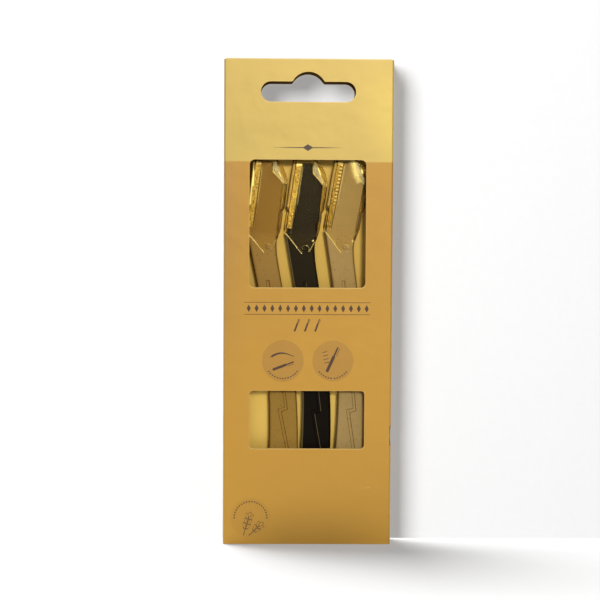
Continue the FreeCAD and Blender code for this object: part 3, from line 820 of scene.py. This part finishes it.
# The steel's tones, tinted gold as a painted reflection of the gold around it
BLADE_PAINTED_GOLD_TONES = {
    "left": (hue(122, 98, 46), hue(178, 150, 86)),
    "middle": (hue(122, 98, 46), hue(178, 150, 86)),
    "right": (hue(148, 122, 64), hue(208, 184, 124)),
}
BLADE_FOOT, BLADE_FOOT_UP = hue(122, 98, 46), (12.0, 7.0)

# The guard: its fold in two tones, its teeth's grain, the painted shade in the gaps between them and the
# painted glint at the top end;
# a tooth's half breadth from none to full, and the band of teeth: from, to, soft edge
GUARD_FOLD = (hue(104, 76, 20), hue(168, 134, 54))
GUARD_GRAIN, GUARD_GAP_PAINTED_SHADE, GUARD_TOP_PAINTED_GLINT = hue(52, 36, 8), hue(72, 52, 12), hue(228, 204, 132)
# The teeth's light specks: partly the gilt's grain, partly painted sparkle, set brighter or duller per
# guard
GUARD_SPECKS_PAINTED_SPARKLE = {"left": hue(186, 154, 72), "middle": hue(214, 182, 92), "right": hue(138, 114, 54)}
GUARD_TOP_UP = (23.6, 24.3)
TOOTH_PITCH, TOOTH_EDGE, TEETH_ACROSS = 1.25, (0.42, 0.20), (-4.55, -3.85, 0.15)


def head_angle(elbow):
    """How far a head leans to the right, in radians."""
    return math.radians(elbow[2] + HEAD_LEAN)


def along_head(x, z, elbow):
    """A point's place aside from a razor's head and along it, counted from its elbow."""
    cosine, sine = math.cos(head_angle(elbow)), math.sin(head_angle(elbow))
    from_x, from_z = x - elbow[0], z - elbow[1]
    return from_x * cosine - from_z * sine, from_x * sine + from_z * cosine


def ground_steel(name, elbow, painted_gold_tones):
    """Blade steel tinted gold as a painted reflection of the gold around it, with grinding lines across
    the strip, darker towards its low end.
    """
    finish = Finish(name)
    point = finish.place()
    x, _, z = finish.split(point)
    _, along = along_head(x, z, elbow)
    lines = finish.noise(finish.scaled(point, 0.4, 0.4, 14.0), 1.0, 3.0, 0.7)
    shader = finish.surface(
        base_color=finish.mix(finish.ease(along, *BLADE_FOOT_UP), finish.mix(lines, *painted_gold_tones), BLADE_FOOT),
        metallic=1.0,
        roughness=0.34 + lines * 0.16,
        normal=finish.bump(lines, 0.01, 0.3),
    )
    return finish.close(shader)


def comb_metal(name, elbow, specks_and_sparkle):
    """The guard's thin gilt sheet: grainy teeth with painted sparkle, painted shade in the gaps, a painted
    glint at the top end and a dented fold.
    """
    finish = Finish(name)
    point = finish.place()
    x, _, z = finish.split(point)
    aside, along = along_head(x, z, elbow)
    dents = finish.noise(point, 1.9, 3.0, 0.6)
    grit = finish.noise(point, 2.8, 2.0, 0.6)
    tooth = finish.ease(abs(along.repeat(TOOTH_PITCH)), *TOOTH_EDGE)
    teeth = finish.band(aside, *TEETH_ACROSS) * finish.ease(dents, 0.30, 0.55)
    grain = finish.mix(finish.ease(grit, 0.42, 0.60), GUARD_GRAIN, specks_and_sparkle)
    colour = finish.mix(finish.ease(dents, 0.38, 0.62), *GUARD_FOLD)
    colour = finish.mix((teeth * tooth).high(0.55), colour, grain)
    # Painted shade in the gaps between teeth, then a painted glint at the top end
    colour = finish.mix(teeth * (1 - tooth) * 0.7, colour, GUARD_GAP_PAINTED_SHADE)
    colour = finish.mix(finish.ease(along, *GUARD_TOP_UP), colour, GUARD_TOP_PAINTED_GLINT)
    shader = finish.surface(
        base_color=colour,
        metallic=1.0,
        roughness=0.32 + dents * 0.14,
        normal=finish.bump(dents, 0.10, 0.7, finish.bump(grit, 0.08, 0.8)),
    )
    return finish.close(shader)


# Clear caps: places are aside and along the head, as along_head gives them

# Tones of the body, and of the side walls with painted light and dark streaks, as pairs that a noise runs
# between; painted dark lines along the walls' edges and painted shade between the grip ribs;
# and where aside or along the head each starts and is full, or for a band: from, to, soft edge
CAP_TINT = (hue(248, 242, 216), hue(254, 250, 232))
LEFT_WALL_PAINTED_STREAKS, LEFT_SIDE_ACROSS = (hue(226, 214, 180), hue(255, 252, 232)), (-5.45, -5.75)
RIGHT_WALL_PAINTED_SHADE, RIGHT_SIDE_ACROSS = (hue(190, 184, 162), hue(226, 222, 206)), (4.6, 4.9)
RIGHT_SIDE_END = (21.5, 19.5)
PAINTED_EDGE_SHADE, PAINTED_EDGE_BANDS = hue(150, 126, 76), ((-5.72, -5.50, 0.08), (-7.3, -6.95, 0.08))
RIB_PAINTED_SHADE, RIB_PITCH, RIBS_ALONG = hue(178, 150, 92), 0.65, (1.4, 8.4, 0.3)
RIBS_LEFT, RIBS_RIGHT = (-4.8, -5.1), (4.2, 4.5)

# The shoulder's two slanted faces, the outer with a painted shade and the inner with a painted pale
# reflection: tone, the way its fold faces, where the fold starts and is full
OUTER_PAINTED_SHADE, OUTER_WAY, OUTER_FOLD = hue(204, 194, 164), (0.861, 0.508), (14.0, 14.5)
PALE_PAINTED_REFLECTION, PALE_WAY, PALE_FOLD = hue(230, 236, 250), (0.667, 0.745), (17.2, 17.7)
OUTER_ALONG, PALE_ACROSS = (17.5, 19.5), (0.4, 1.2)

# The band of painted highlight on the left wall, and the tones of all painted highlights
LEFT_GLOSS_ACROSS, LEFT_GLOSS_ALONG = (-6.85, -5.85, 0.15), (9.0, 24.0, 0.4)
PAINTED_HIGHLIGHT_TONE, LEFT_PAINTED_HIGHLIGHT_TONE = hue(240, 214, 122), hue(232, 184, 84)
PALE_PAINTED_HIGHLIGHT_TONE = hue(206, 184, 118)
PAINTED_GLARE_TONE = hue(208, 184, 98)

# Painted highlight lines on every cap: the tongue's edge, its lobe, the shoulder, and the head plate's two
# edges
TONGUE_EDGE = ((-6.88, 0.86), (-4.95, -0.58), (-2.11, -3.19), (-0.18, -5.14), (1.35, -6.43))
LOBE_EDGE = ((3.62, -5.27), (4.30, -3.40), (4.90, -1.71))
SHOULDER_GLOSS = ((1.3, 25.3), (2.6, 23.0), (3.8, 21.0), (4.9, 19.2))
PLATE_SHOULDER = ((0.9, 22.0), (4.8, 18.5))
PLATE_EDGE = ((-3.05, 10.5), (-3.05, 23.5))

# Each line's points, width, softness, strength
EDGE_LINES = (
    (TONGUE_EDGE, 0.08, 0.08, 0.6),
    (LOBE_EDGE, 0.20, 0.08, 0.6),
    (SHOULDER_GLOSS, 0.24, 0.2, 0.35),
    (PLATE_SHOULDER, 0.20, 0.12, 0.4),
    (PLATE_EDGE, 0.14, 0.12, 0.4),
)

# The painted highlight ring of the detent round the pip: its middle, radius, half line and softness, and
# how far down its ring shows
DETENT, DETENT_RADIUS, DETENT_LINE, DETENT_SOFT, DETENT_END = (2.25, -4.5), 1.25, 0.06, 0.08, -5.0

# The clear plastic's refraction, how much it mirrors and in what tone, and the tone of light through it
CLEAR_IOR, CLEAR_MIRROR = 1.46, 0.12
CLEAR_MIRROR_TONE, CLEAR_SHADE = (0.22, 0.17, 0.08, 1), (1, 0.98, 0.93, 1)

# Where from back to front a gleam starts and is full
GLEAM_DEPTH = (0.2, -0.3)

# Painted gleams on the caps' front walls, each also as points, width, softness, strength
GLEAMS = {
    "left": (
        (((-6.95, 24.4), (-6.25, 20.8)), 1.3, 0.2, 1.0),
        (((-6.25, 20.8), (-5.95, 16.5)), 1.5, 0.25, 1.0),
        (((-5.95, 16.5), (-5.75, 9.7)), 0.7, 0.2, 0.9),
        (((3.0, 22.0), (3.9, 20.5)), 0.35, 0.2, 0.9),
    ),
    "middle": (
        (((2.4, 23.8), (3.5, 21.8)), 0.35, 0.2, 0.9),
        (((4.3, -1.5), (4.4, -1.2)), 0.35, 0.2, 0.9),
    ),
    "right": (
        (((0.0, 25.6), (1.8, 21.4)), 1.5, 1.6, 0.62),
        (((1.8, 21.4), (2.7, 19.4)), 0.9, 1.3, 0.5),
        (((3.2, 23.2), (3.6, 22.3)), 0.5, 0.3, 0.9),
        (((4.3, -1.9), (4.4, -1.6)), 0.3, 0.2, 0.8),
    ),
}


def past_fold(finish, aside, along, way, fold):
    """0 before a slanted fold and 1 past it, going the way that it faces."""
    return finish.ease(aside * way[0] + along * way[1], *fold)


def cap_tint(finish, aside, along, flow, streak):
    """Faintly gold, with painted light and dark streaks in the side walls, painted dark lines along the
    walls' edges and painted shade between the grip ribs.
    """
    tint = finish.mix(flow, *CAP_TINT)
    left = finish.ease(aside, *LEFT_SIDE_ACROSS)
    right = finish.ease(aside, *RIGHT_SIDE_ACROSS) * finish.ease(along, *RIGHT_SIDE_END)
    # Painted light and dark streaks in the side walls
    tint = finish.mix(left, tint, finish.mix(streak, *LEFT_WALL_PAINTED_STREAKS))
    tint = finish.mix(right, tint, finish.mix(streak, *RIGHT_WALL_PAINTED_SHADE))
    # Painted dark lines along the walls' edges
    edge_shade = reduce(Value.high, [finish.band(aside, *edge_band) for edge_band in PAINTED_EDGE_BANDS])
    tint = finish.mix(edge_shade * 0.5, tint, PAINTED_EDGE_SHADE)
    # Painted shade between the grip ribs
    rib_shade = finish.ease((aside * (2 * math.pi / RIB_PITCH)).wave(), -0.5, 0.5)
    ribbed = finish.band(along, *RIBS_ALONG)
    ribbed = ribbed * finish.ease(aside, *RIBS_LEFT).high(finish.ease(aside, *RIBS_RIGHT))
    return finish.mix(ribbed * rib_shade * 0.55, tint, RIB_PAINTED_SHADE)


def soft_strokes(finish, aside, along, strokes):
    """Strokes of painted highlight with soft edges, the strongest counting where they meet."""
    shares = []
    for points, width, soft, strength in strokes:
        shares.append(finish.fill(finish.trace(aside, along, points, width), soft) * strength)
    return reduce(Value.high, shares)


def painted_edge_highlights(finish, aside, along):
    """How strongly the painted highlights lie on the moulded edges, and faintly on the detent and the head
    plate.
    """
    middle = finish.distance(aside - DETENT[0], along - DETENT[1])
    ring = (abs(middle - DETENT_RADIUS) - DETENT_LINE).high(DETENT_END - along)
    return soft_strokes(finish, aside, along, EDGE_LINES).high(finish.fill(ring, DETENT_SOFT) * 0.3)


def clear_plastic(name, elbow, gleams):
    """Clear moulded cap: real refraction, faintly gold, with painted highlights on its edges, left wall
    and front, painted shade and reflection on its shoulder and side walls, and ribbed sides.
    """
    finish = Finish(name)
    point = finish.place()
    x, y, z = finish.split(point)
    aside, along = along_head(x, z, elbow)
    flow = finish.noise(point, 0.25)
    streaks = finish.noise(finish.vector(aside * 1.6, y * 0.2, along * 0.10), 1.0, 3.0, 0.6)
    streak = finish.ease(streaks, 0.36, 0.64)
    # Where the shoulder's painted dark band and painted pale reflection lie
    outer = past_fold(finish, aside, along, OUTER_WAY, OUTER_FOLD) * finish.ease(along, *OUTER_ALONG)
    pale = past_fold(finish, aside, along, PALE_WAY, PALE_FOLD) * finish.ease(aside, *PALE_ACROSS)
    pale = pale * (1 - outer)

    tint = finish.mix(outer, cap_tint(finish, aside, along, flow, streak), OUTER_PAINTED_SHADE)
    glass = finish.surface(
        base_color=finish.mix(pale, tint, PALE_PAINTED_REFLECTION),
        roughness=0.02 + flow * 0.02,
        ior=CLEAR_IOR,
        specular_ior_level=CLEAR_MIRROR,
        specular_tint=CLEAR_MIRROR_TONE,
        transmission_weight=1.0,
        normal=finish.bump(streaks, 0.12, 0.4, finish.bump(flow, 0.3, 0.3)),
    )
    clear = finish.node("BsdfTransparent", None, {"Color": CLEAR_SHADE})
    body = finish.blend(finish.rays("Shadow", "Diffuse"), glass, clear)

    # Painted highlights: the left wall's band, the gleams, the edge lines and the shoulder's pale
    # reflection
    left_wall = finish.band(aside, *LEFT_GLOSS_ACROSS) * finish.band(along, *LEFT_GLOSS_ALONG)
    glare = soft_strokes(finish, aside, along, gleams) * finish.ease(y, *GLEAM_DEPTH)
    share = painted_edge_highlights(finish, aside, along).high(pale * (0.08 + streak * 0.12))
    share = share.high(left_wall * (0.30 + streak * 0.40)).high(glare)
    sheen = finish.mix(left_wall, PAINTED_HIGHLIGHT_TONE, LEFT_PAINTED_HIGHLIGHT_TONE)
    sheen = finish.mix(pale, sheen, PALE_PAINTED_HIGHLIGHT_TONE)
    # The surface that the painted highlights, gleams and glare are mixed towards
    bright = finish.surface(
        base_color=finish.mix(glare, sheen, PAINTED_GLARE_TONE),
        metallic=0.4 + glare * 0.6,
        roughness=0.3,
    )
    return finish.close(finish.blend(share, body, bright))


# Heels: the moulded block at each head's foot that holds the guard's low end

HEEL_LEFT, HEEL_RIGHT, HEEL_LOW, HEEL_HIGH = -5.30, -2.90, -0.35, 1.66
HEEL_HALF, HEEL_CORNER, HEEL_RIM = 1.15, 0.35, 0.18
HEEL_POINTS, RIM_STEPS = 24, 5


def heel(name, side, material):
    """A slab with round corners and rims, leaned with its head.

    Around: a point of the outline is its corner's centre plus the corner radius, less an inset, turned
    by the angle. Across: the inset falls and the depth grows along a quarter circle at each rim.
    """
    angles = np.arange(HEEL_POINTS) / HEEL_POINTS * 2 * np.pi + np.pi / HEEL_POINTS
    middle = np.array([(HEEL_LEFT + HEEL_RIGHT) / 2, (HEEL_LOW + HEEL_HIGH) / 2])
    half = np.array([(HEEL_RIGHT - HEEL_LEFT) / 2, (HEEL_HIGH - HEEL_LOW) / 2]) - HEEL_CORNER
    turned = np.stack([np.cos(angles), np.sin(angles)], 1)
    centres = middle + np.sign(turned) * half
    quarter = np.linspace(0, np.pi / 2, RIM_STEPS)
    inset = HEEL_RIM * (1 - np.sin(quarter))
    depth = HEEL_HALF - HEEL_RIM * (1 - np.cos(quarter))
    inset = np.concatenate([inset, inset[::-1]])
    depth = np.concatenate([-depth, depth[::-1]])
    rings = centres[None] + turned[None] * (HEEL_CORNER - inset)[:, None, None]

    across, up, _ = ELBOWS[side]
    angle = head_angle(ELBOWS[side])
    low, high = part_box(f"{side}_razor_blade")
    y_middle = (low.y + high.y) / 2
    x = across + rings[..., 0] * math.cos(angle) + rings[..., 1] * math.sin(angle)
    z = up - rings[..., 0] * math.sin(angle) + rings[..., 1] * math.cos(angle)
    y = np.broadcast_to(depth[:, None], x.shape)
    points = np.stack([x * MM, y_middle + y * MM, z * MM], -1).reshape(-1, 3)

    rows = len(depth)
    ring = np.arange(HEEL_POINTS)
    following = (ring + 1) % HEEL_POINTS
    faces = [tuple(ring.tolist()), tuple((ring + (rows - 1) * HEEL_POINTS)[::-1].tolist())]
    for row in range(rows - 1):
        near, far = row * HEEL_POINTS, (row + 1) * HEEL_POINTS
        quads = np.stack([ring + near, ring + far, following + far, following + near], 1)
        faces += [tuple(quad) for quad in quads.tolist()]
    mesh = bpy.data.meshes.new(name)
    mesh.from_pydata(points.tolist(), [], faces)
    mesh.materials.append(material)
    piece = bpy.data.objects.new(name, mesh)
    bpy.context.scene.collection.objects.link(piece)
    return piece


# Dressing the pack

HANDLE_SLOTS = {"left": "tan_plastic", "middle": "black_plastic", "right": "greige_plastic"}


def make_finishes():
    """Every material, under the slot or the node that takes it."""
    finishes = {"carton_board": gold_print("gold_print"), "tray_board": card_gold("tray_gold")}
    for slot, facts in PLASTICS.items():
        finishes[slot] = straw_plastic(*facts)
    for side, elbow in ELBOWS.items():
        finishes[f"{side}_razor_guard"] = comb_metal(f"{side}_comb_metal", elbow, GUARD_SPECKS_PAINTED_SPARKLE[side])
        finishes[f"{side}_razor_blade"] = ground_steel(f"{side}_ground_steel", elbow, BLADE_PAINTED_GOLD_TONES[side])
        finishes[f"{side}_razor_cap"] = clear_plastic(f"{side}_clear_cap", elbow, GLEAMS[side])
    return finishes


def dress_nodes():
    """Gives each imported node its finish, adds the heels and returns every piece."""
    finishes = make_finishes()
    for subpart in record["subparts"]:
        name, slot = subpart["node"], subpart["material_slot"]
        mesh = nodes[name].data
        mesh.materials.clear()
        mesh.materials.append(finishes[name] if name in finishes else finishes[slot])
    pieces = list(nodes.values())
    for side, slot in HANDLE_SLOTS.items():
        piece = heel(f"{side}_razor_heel", side, finishes[slot])
        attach(piece, "tray")
        pieces.append(piece)
    return pieces


aim_camera()
set_stage(dress_nodes())
bpy.context.scene.view_settings.view_transform = "Standard"
